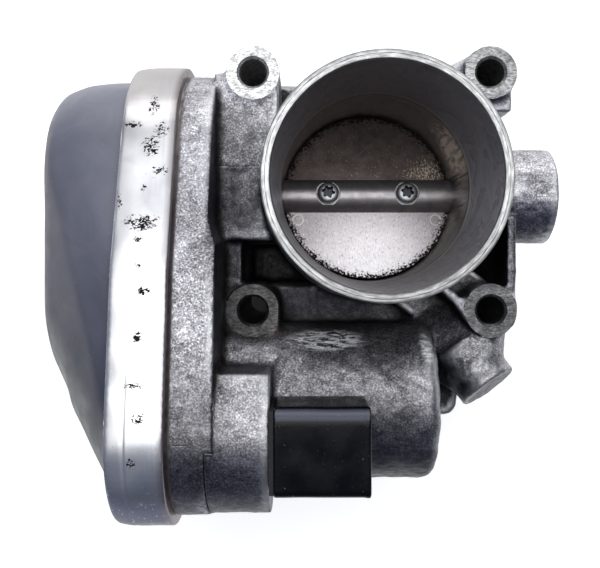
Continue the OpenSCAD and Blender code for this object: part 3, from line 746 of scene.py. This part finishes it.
def steel(name, colour, rough, along, mark, metallic=1.0):
    """Ground or drawn steel, with marks drawn out along one axis."""
    s = Shader(name, Metallic=metallic)
    marks = s.noise(mark, 3, 0.6, stretch=along)
    darkening = s.noise(3.5, 4, 0.6, twist=0.7)
    dark = tuple(c * 0.75 for c in colour)
    s.set("Base Color", s.steps(darkening, (0.36, dark), (0.56, colour)))
    s.set("Roughness", s.steps(darkening, (0.3, rough + 0.08), (0.6, rough)))
    s.bump((marks, 0.01, 0.2))
    return s.material


def plate_metal():
    """Stamped sheet, bare in the middle and sooty in a narrow rough edge along its rim, with a painted
    pool of light on its near half and painted highlight rings at its two marks.
    """
    s = Shader("plate_metal", Metallic=0.9)
    xy = s.add("VectorMath", {0: s.place, 1: (1, 1.01, 0)}, operation="MULTIPLY").outputs[0]
    rim = s.math("DIVIDE", s.add("VectorMath", {0: xy}, operation="LENGTH").outputs["Value"], 21.9)
    soot = s.noise(0.6, 4, 0.7)
    cloud = s.noise(9, 4, 0.6, twist=0.8)
    edge = s.math("ADD", s.math("MULTIPLY", s.steps(rim, (0.86, 0.0), (1.0, 1.0)), 0.3), soot)
    patch = s.steps(edge, (0.68, 0.0), (0.73, 1.0))
    fine = s.noise(0.34, 3, 0.65, stretch=(1, 2.2, 1))
    far = s.steps(s.math("ADD", s.math("DIVIDE", s.axis("Y"), 44.0), 0.5), (0.5, 0.0), (0.55, 1.0))
    near_side = s.steps(cloud, (0.3, (0.44, 0.42, 0.435)), (0.6, (0.58, 0.56, 0.575)))
    # A painted pool of light low on the near half, darker towards the shaft and the bore's wall
    near_side = s.mix(s.steps(s.near((3, -17, 28), (24, 15, 30)), (0.0, 0.7), (0.6, 0.0)), near_side,
                      (0.22, 0.2, 0.205))
    near_side = s.mix(s.steps(fine, (0.34, 0.5), (0.46, 0.0)), near_side, (0.12, 0.105, 0.11))
    near_side = s.mix(s.steps(fine, (0.58, 0.0), (0.7, 0.3)), near_side, (0.95, 0.93, 0.94))
    # Painted highlight rings round the rims of the two stamped marks
    for x in (-18, 18):
        off = s.add("VectorMath", {0: s.place, 1: (x, -6.2, 33.5)}, operation="DISTANCE").outputs["Value"]
        mark = s.steps(s.math("ABSOLUTE", s.math("SUBTRACT", off, 1.4)), (0.1, 0.4), (0.26, 0.0))
        near_side = s.mix(mark, near_side, (0.9, 0.88, 0.88))
    darkening = s.noise(2.8, 5, 0.7)
    far_side = s.steps(darkening, (0.34, (0.08, 0.062, 0.058)), (0.66, (0.135, 0.108, 0.1)))
    far_side = s.mix(s.steps(fine, (0.62, 0.0), (0.7, 0.4)), far_side, (0.45, 0.4, 0.36))
    gold = s.math("ADD", s.math("MULTIPLY", s.near((16, 6.5, 31), (9, 6, 12)), 0.22), fine)
    far_side = s.mix(s.steps(gold, (0.66, 0.0), (0.74, 0.8)), far_side, (0.65, 0.57, 0.46))
    s.set("Base Color", s.mix(patch, s.mix(far, near_side, far_side), (0.03, 0.024, 0.02)))
    s.set("Roughness", s.mix(patch, s.steps(cloud, (0.3, 0.32), (0.7, 0.42)), (0.85, 0.85, 0.85)))
    s.bump((fine, 0.03, 0.4), (patch, 0.05, 0.5))
    return s.material


def plain(name, colour, metallic, rough, grain=0.4, depth=0.03):
    """A part that stays inside: even colour with fine variation and grain."""
    s = Shader(name, Metallic=metallic)
    cloud = s.noise(2.5, 4, 0.6)
    darker = tuple(c * 0.8 for c in colour)
    paler = tuple(min(1, c * 1.12) for c in colour)
    s.set("Base Color", s.steps(cloud, (0.3, darker), (0.7, paler)))
    s.set("Roughness", s.steps(cloud, (0.3, max(0.05, rough - 0.06)), (0.7, rough + 0.06)))
    s.bump((s.noise(grain, 3, 0.6), depth, 0.3))
    return s.material


SLOTS = {
    "cast_aluminium": cast_metal(),
    "band_aluminium": band_metal(),
    "cover_plastic": moulded("cover_plastic", (0.135, 0.142, 0.185), (0.175, 0.18, 0.23),
                             rough=0.4, dusty=0.5, specular=0.5, edge=0.0),
    "black_plastic": moulded("black_plastic", (0.003, 0.003, 0.006), (0.006, 0.006, 0.011),
                             rough=0.24, dusty=0.4, specular=0.22, edge=0.9),
    "gear_plastic": plain("gear_plastic", (0.82, 0.78, 0.68), 0.0, 0.45),
    "board": plain("board", (0.05, 0.22, 0.12), 0.0, 0.35),
    "seal_rubber": plain("seal_rubber", (0.008, 0.008, 0.009), 0.0, 0.6),
    "polished_steel": steel("polished_steel", (0.37, 0.35, 0.36), 0.33, (12, 1, 1), 0.4, 0.82),
    "zinc_steel": steel("zinc_steel", (0.5, 0.53, 0.56), 0.42, (1, 1, 1), 0.5),
    "spring_steel": plain("spring_steel", (0.4, 0.4, 0.42), 1.0, 0.35),
    "plate_metal": plate_metal(),
    "magnet": plain("magnet", (0.12, 0.12, 0.12), 0.3, 0.6),
    "bronze": plain("bronze", (0.6, 0.42, 0.2), 1.0, 0.45),
    "copper": plain("copper", (0.7, 0.36, 0.2), 1.0, 0.4),
    "contact_metal": plain("contact_metal", (0.75, 0.66, 0.45), 1.0, 0.3),
}


def dress_cad_nodes():
    """Each CAD node that stays in view takes the material of its slot."""
    slots = {part["node"]: part["material_slot"] for part in frame["record"]["subparts"]}
    for name, node in frame["nodes"].items():
        node.data.materials.clear()
        node.data.materials.append(SLOTS[slots[name]])


# ---- housing ----

def at_bolts():
    return [(x, y) for x in (-BOLT_AT, BOLT_AT) for y in (-BOLT_AT, BOLT_AT)]


def machined_spaces():
    """Solids that cover the housing's machined hollows, and nothing of its cast outside: the gear chamber,
    the motor's seat, the shaft's seats, the neck of the connector and the bolt holes."""
    motor_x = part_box("motor_screws")[0].x / MM - 1
    seal_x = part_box("connector_seal")[0].x / MM - 0.05
    spaces = [
        prism(-51.5, -39, CHAMBER_INSET - 0.4),
        rod(motor_x, 12.6, MOTOR_BORE_R + 0.3, *MOTOR_AXIS),
        rod(-47, STUB_END + 1.5, 9.2),
        box((-42, *NECK_LOW), (seal_x, *NECK_HIGH)),
    ]
    spaces += [post(x, y, -2, BOSS_TOP + 1.5, BOLT_HOLE_R + 1) for x, y in at_bolts()]
    return spaces


def air_bore():
    """The air passage as one turned cutter, with its step and the narrow bevel of the rim."""
    return lathe([(0, -3), (BORE_R, -3), (BORE_R, STEP_Z), (ENTRY_R, STEP_Z + 1),
                  (MOUTH_R + 0.02, COLLAR_TOP - BEVEL), (MOUTH_R + BEVEL, COLLAR_TOP),
                  (MOUTH_R + BEVEL, COLLAR_TOP + 4), (0, COLLAR_TOP + 4)], segments=256)


def scribed(x0, x1, y0, y1, inset):
    """A cutter for a thin line around the top of the gear housing, down to that inset of the outline."""
    line = prism(x0, x1, -3)
    combine(line, prism(x0 - 1, x1 + 1, inset), "DIFFERENCE")
    return combine(line, box((x0 - 1, y0, 20), (x1 + 1, y1, 90)), "INTERSECT")


def parting_lines():
    """Cutters beside the flange, across its step and its face, and over the shoulder by one boss."""
    return [
        scribed(FLANGE_X, FLANGE_X + LINE, FLANGE_STEP_Y, -38, FLANGE_INSET + 0.9),
        scribed(FLANGE_LOW_X, FLANGE_X + LINE, FLANGE_STEP_Y - LINE, FLANGE_STEP_Y, FLANGE_INSET + 0.5),
        scribed(FLANGE_LOW_X, FLANGE_LOW_X + LINE, -90, FLANGE_STEP_Y, FLANGE_INSET + 0.9),
        scribed(-43.9, -40.8, -55.4, -55.25, FLANGE_INSET + 0.25),
        box((-37, 6, BOSS_TOP - 0.3), (-25.9, 6.14, BOSS_TOP + 2)),
    ]


def join(solids):
    """The union of solids, as the first of them."""
    first, *others = solids
    for other in others:
        combine(first, other, "UNION")
    return first


def machining_stock():
    """Stock that is cut off again, so that the machined faces keep sharp edges."""
    stock = [post(0, 0, -1.5, COLLAR_TOP + 1.8, COLLAR_R), rod(STUB_END - 4, STUB_END + 0.6, STUB_R),
             prism(-51.4, RIM_X + 0.6, RIM_INSET), box((-35, -35, -1.6), (35, 35, 1)),
             # Fills the groove beside the band up to just below the flange
             prism(-45.62, -44.9, FLANGE_INSET + 0.35)]
    stock += [post(x, y, 30, BOSS_TOP + 0.35, BOSS_R + 0.1) for x, y in at_bolts()]
    return join(stock)


def rough_casting(spaces):
    """The casting before it is machined: hollows filled, corners rounded, skin uneven."""
    cast = welded("throttle_housing", "housing_casting")
    for space in spaces:
        combine(cast, space, "UNION", keep_tool=True)
    combine(cast, machining_stock(), "UNION")
    remesh(cast, CAST_VOXEL)

    def below_collar(co):
        return np.where(co[:, 2] > 63, 0.02, np.clip(1 - (co[:, 2] - 57) / 6, 0, 1))

    wear(cast, 24, 0.5, 0.06, below_collar, fair=30)
    swell(cast, 9, 0.09, 11, below_collar)
    swell(cast, 2.4, 0.04, 12, below_collar)
    note_hollows(cast)
    return cast


def face_cutters():
    """Cutters for the rim with its bevels and tool mark, and for the flat faces."""
    edge = COLLAR_TOP - BEVEL
    inner, bottom, outer = RIM_GROOVE
    cutters = [
        air_bore(),
        post(0, 0, COLLAR_TOP, COLLAR_TOP + 4, COLLAR_R + 2),
        turned_ring([(COLLAR_R + 2, edge - 2), (COLLAR_R + 2, COLLAR_TOP + 2),
                     (COLLAR_R - BEVEL - 2, COLLAR_TOP + 2)]),
        turned_ring([(inner, COLLAR_TOP + GROOVE_DEPTH), (bottom, COLLAR_TOP - GROOVE_DEPTH),
                     (outer, COLLAR_TOP + GROOVE_DEPTH)]),
        rod(STUB_END, STUB_END + 3, STUB_R + 3),
        prism(-53, RIM_X, -1),
        box((-60, -90, -4), (60, 60, 0)),
    ]
    cutters += parting_lines()
    cutters += [post(x, y, BOSS_TOP, BOSS_TOP + 4, BOSS_R + 0.2) for x, y in at_bolts()]
    return cutters


def build_housing():
    spaces = machined_spaces()
    cast = rough_casting(spaces)
    cad = welded("throttle_housing", "housing_cad")
    for space in spaces:
        combine(space, cad, "DIFFERENCE", keep_tool=True)
    drop(cad)
    combine(cast, join(spaces + face_cutters()), "DIFFERENCE")
    kind = sort_surfaces(cast)
    shade(cast, 40)
    # Cut faces get flat shading: their long slivers would smear a smooth one. The bore stays smooth.
    cast.data.polygons.foreach_set("use_smooth", (kind == CAST) | (kind == BORE))
    return cast


# The order of the housing's materials
CAST, RIM, BORE, MILLED = range(4)


def sort_surfaces(obj):
    """Gives the machined faces their own materials, and returns each face's number."""
    mesh = obj.data
    count = len(mesh.polygons)
    centre = np.empty(count * 3)
    normal = np.empty(count * 3)
    mesh.polygons.foreach_get("center", centre)
    mesh.polygons.foreach_get("normal", normal)
    centre, normal = centre.reshape(-1, 3) / MM, normal.reshape(-1, 3)
    height = centre[:, 2]
    radius = np.hypot(centre[:, 0], centre[:, 1])
    from_bolt = np.hypot(abs(centre[:, 0]) - BOLT_AT, abs(centre[:, 1]) - BOLT_AT)
    kind = np.full(count, CAST)
    kind[(radius < MOUTH_R + 0.2) & (height > 0.2)] = BORE
    kind[(height > COLLAR_TOP - 1.2) & (radius > MOUTH_R - 0.2)] = RIM
    kind[(normal[:, 2] > 0.95) & (abs(height - BOSS_TOP) < 0.05) & (from_bolt < BOSS_R + 0.2)] = MILLED
    kind[height < 0.05] = MILLED
    kind[from_bolt < BOLT_HOLE_R + 0.62] = MILLED
    mesh.polygons.foreach_set("material_index", kind)
    return kind


# ---- cover and band ----

def build_cover():
    cover = welded("gear_cover", "gear_cover_moulding")
    remesh(cover, COVER_VOXEL)

    def dome_only(co):
        share = np.clip((-57.8 - co[:, 0]) / 2.2, 0, 1)
        for y, z in COVER_PEGS:
            peg = (np.hypot(co[:, 1] - y, co[:, 2] - z) < 3) & (co[:, 0] > PEG_END_X)
            share[peg] = 0
        return share

    wear(cover, 20, 0.5, 0.5, dome_only, fair=10)
    swell(cover, 17, 0.07, 21, dome_only)
    shade(cover, 40)
    return cover


def nearest(co, points):
    """For each place, the number of the outline point that lies nearest, seen along X."""
    best = np.full(len(co), np.inf)
    index = np.zeros(len(co), int)
    for k, (y, z, *_) in enumerate(points):
        reach = (co[:, 1] - y) ** 2 + (co[:, 2] - z) ** 2
        better = reach < best
        best[better] = reach[better]
        index[better] = k
    return index


def build_band():
    band = welded("crimp_ring", "crimped_band")
    remesh(band, BAND_VOXEL)
    wear(band, 9, 0.5, 0.5)
    mesh = band.data
    co = coordinates(mesh) / MM
    # The outline as 720 points, with its straights left undivided
    points = np.array(outline_points(0, 720, 99))
    y, z, normal_y, normal_z = points[nearest(co, points)].T
    out = (co[:, 1] - y) * normal_y + (co[:, 2] - z) * normal_z
    outer = np.clip((out + 0.7) / 0.5, 0, 1)
    # The hammered left edge slopes in, below a crease that fades out towards the top of the outline
    slope = np.clip((-53.8 - co[:, 0]) / 4.2, 0, 1) ** 1.5 * 0.45
    crease = np.exp(-((co[:, 0] + 53.9) / 0.28) ** 2) * np.clip((-30 - co[:, 1]) / 15, 0, 1) * 0.14
    dent = ripple(co, 11, 31) * 0.07
    inward = (slope + crease + dent) * outer
    co[:, 1] -= normal_y * inward
    co[:, 2] -= normal_z * inward
    set_coordinates(mesh, co * MM)
    shade(band, 50)
    return band


# ---- connector ----

def rounded_outline(y0, y1, z0, z1, radii, steps=10):
    """A rectangle of (Y, Z) points with a radius for each corner in turn: +Y +Z, -Y +Z, -Y -Z, +Y -Z."""
    points = []
    corners = ((y1, z1, 0), (y0, z1, 90), (y0, z0, 180), (y1, z0, 270))
    for (y, z, start), radius in zip(corners, radii):
        centre_y = y - radius if y == y1 else y + radius
        centre_z = z - radius if z == z1 else z + radius
        for i in range(steps + 1):
            a = math.radians(start + 90 * i / steps)
            points.append((centre_y + radius * math.cos(a), centre_z + radius * math.sin(a)))
    return points


def build_connector():
    """The plug connector with one large rounded edge and a slightly raised lip around its mouth."""
    shell = welded("connector_shell", "connector_moulding")
    low, high = (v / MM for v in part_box("connector_shell"))
    neck_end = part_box("connector_seal")[1].x / MM
    body = rounded_outline(low.y, high.y, low.z, high.z, (3.0, 1.4, 0.8, 0.8))
    combine(shell, extrude_x(body, neck_end - 30, high.x + 1), "INTERSECT")
    edge = rounded_outline(low.y - 0.05, high.y + 0.05, low.z - 0.05, high.z + 0.14, (3.0, 1.4, 1, 1))
    lip = extrude_x(edge, high.x - 1.0, high.x)
    inside = rounded_outline(low.y + PLUG_WALL, high.y - PLUG_WALL, low.z + PLUG_WALL, high.z - PLUG_WALL,
                             (0.8,) * 4)
    combine(lip, extrude_x(inside, high.x - 4, high.x + 1), "DIFFERENCE")
    combine(shell, lip, "UNION")
    remesh(shell, PLUG_VOXEL)
    wear(shell, 5, 0.5, 0.5)
    swell(shell, 8, 0.03, 41)
    shade(shell, 40)
    return shell


# ---- plate screws ----

# The screw's profile as (radius, height) points, from its tip to the middle of its head
SHANK = [(0, -3), (1.5, -3), (1.5, 3.4)]
HEAD = [(2.6, 3.4), (2.75, 3.55), (2.75, 4.45), (2.65, 4.85), (2.4, 5.15), (2.0, 5.34), (1.5, 5.45),
        (0, 5.5)]
# The recess: its mean radius and its waves, and the radius and heights between which its faces lie
LOBE_R = 1.38
LOBE_WAVE = 0.24
RECESS_R = 1.72
RECESS_HEIGHTS = (3.8, 5.3)


def six_lobes(bm):
    """A six-lobed plug with a narrow foot and a wide top."""
    steps = 72
    rings = []
    for z, share in ((3.9, 0.86), (4.1, 1.0), (5.2, 1.0), (6.0, 1.35)):
        ring = []
        for a in (2 * math.pi * i / steps for i in range(steps)):
            radius = (LOBE_R + LOBE_WAVE * math.cos(6 * a)) * share
            ring.append(bm.verts.new((radius * math.cos(a), radius * math.sin(a), z)))
        rings.append(ring)
    bm.faces.new(rings[0])
    bm.faces.new(rings[-1])
    for lower, upper in zip(rings, rings[1:]):
        bridge(bm, lower, upper)


def in_recess(face):
    x, y, z = face.center / MM
    low, high = RECESS_HEIGHTS
    return math.hypot(x, y) < RECESS_R and low < z < high and face.normal.z > -0.5


def build_screw(side):
    """A pan head screw with a six-lobe recess; side is -1 or 1 along the shaft."""
    screw = lathe(SHANK + HEAD, segments=64)
    combine(screw, solid("recess", six_lobes), "DIFFERENCE")
    # The faces of the recess take the second material, a dark one painted for the shade in the recess
    inside = [in_recess(face) for face in screw.data.polygons]
    screw.data.polygons.foreach_set("material_index", np.array(inside, int))
    screw.data.transform(Matrix.Translation((0, 0, SHAFT_Z * MM)) @ Matrix.Rotation(-PLATE_TILT, 4, "X")
                         @ Matrix.Translation((side * SCREW_PITCH / 2 * MM, 0, 0))
                         @ Matrix.Rotation(0.3 + 0.5 * side, 4, "Z"))
    shade(screw, 38)
    return screw


# ---- floor, lights, camera ----

CAMERA_AT = (-18, -17.7, 219)
SENSOR = 36
FOCAL = 42.4
SHIFT = (0.0033, -0.0333)
FLOOR_SIDE = 8
FLOOR_DROP = 0.0002  # keeps the floor clear of the flange face


def make_camera():
    cam = bpy.data.cameras.new("camera")
    obj = link("camera", cam)
    obj.location = [v * MM for v in CAMERA_AT]
    cam.sensor_width = SENSOR
    cam.lens = FOCAL
    cam.shift_x, cam.shift_y = SHIFT
    cam.clip_start = 0.005
    bpy.context.scene.camera = obj


def area_light(name, location, target, size, power):
    """A soft rectangular light, in metres and watts, that faces the target."""
    light = bpy.data.lights.new(name, "AREA")
    light.shape = "RECTANGLE"
    light.size, light.size_y = size
    light.energy = power
    obj = link(name, light)
    obj.location = location
    obj.rotation_euler = (Vector(target) - Vector(location)).to_track_quat("-Z", "Y").to_euler()


def make_floor():
    bpy.ops.mesh.primitive_plane_add(size=FLOOR_SIDE, location=(0, 0, -FLOOR_DROP))
    floor = bpy.context.object
    floor.name = "floor"
    s = Shader("floor")
    s.set("Base Color", (0.9, 0.9, 0.9))
    s.set("Roughness", 0.9)
    s.set("Emission Color", (1.0, 1.0, 1.0))
    # No glow under the flange, where the part keeps the light off
    across = [s.math("ABSOLUTE", s.axis(name)) for name in ("X", "Y")]
    out = s.math("DIVIDE", s.math("MAXIMUM", *across), 40.0)
    s.set("Emission Strength", s.steps(out, (0.83, 0.0), (0.88, 0.6)))
    floor.data.materials.append(s.material)


def make_world():
    world = bpy.data.worlds.new("world")
    bpy.context.scene.world = world
    world.use_nodes = True
    background = world.node_tree.nodes["Background"]
    background.inputs["Color"].default_value = (0.72, 0.8, 1.0, 1)
    background.inputs["Strength"].default_value = 0.17


make_camera()
make_world()
make_floor()
area_light("key", (-0.02, 0.10, 0.60), (-0.01, -0.01, 0.03), (0.62, 0.5), 2.3)
area_light("back", (0.0, 0.75, 0.34), (0, 0, 0.03), (1.0, 0.45), 3.6)
bpy.context.scene.view_settings.view_transform = "Standard"

dress_cad_nodes()
finish_piece(build_housing(), "housing_casting", "housing", "cast_aluminium",
             [SLOTS["cast_aluminium"], rim_metal(), bore_metal(), milled_metal()], "throttle_housing")
finish_piece(build_cover(), "gear_cover_moulding", "housing", "cover_plastic",
             [SLOTS["cover_plastic"]], "gear_cover")
finish_piece(build_band(), "crimped_band", "housing", "band_aluminium",
             [SLOTS["band_aluminium"]], "crimp_ring")
finish_piece(build_connector(), "connector_moulding", "housing", "black_plastic",
             [SLOTS["black_plastic"]], "connector_shell")
# Painted shade: a dark material for the recess, where the light hardly reaches
recess_painted_shade = plain("recess_painted_shade", (0.07, 0.07, 0.08), 0.6, 0.4)
for side, tag in ((-1, "left"), (1, "right")):
    finish_piece(build_screw(side), "plate_screw_" + tag, "throttle", "zinc_steel",
                 [SLOTS["zinc_steel"], recess_painted_shade], "plate_screws")
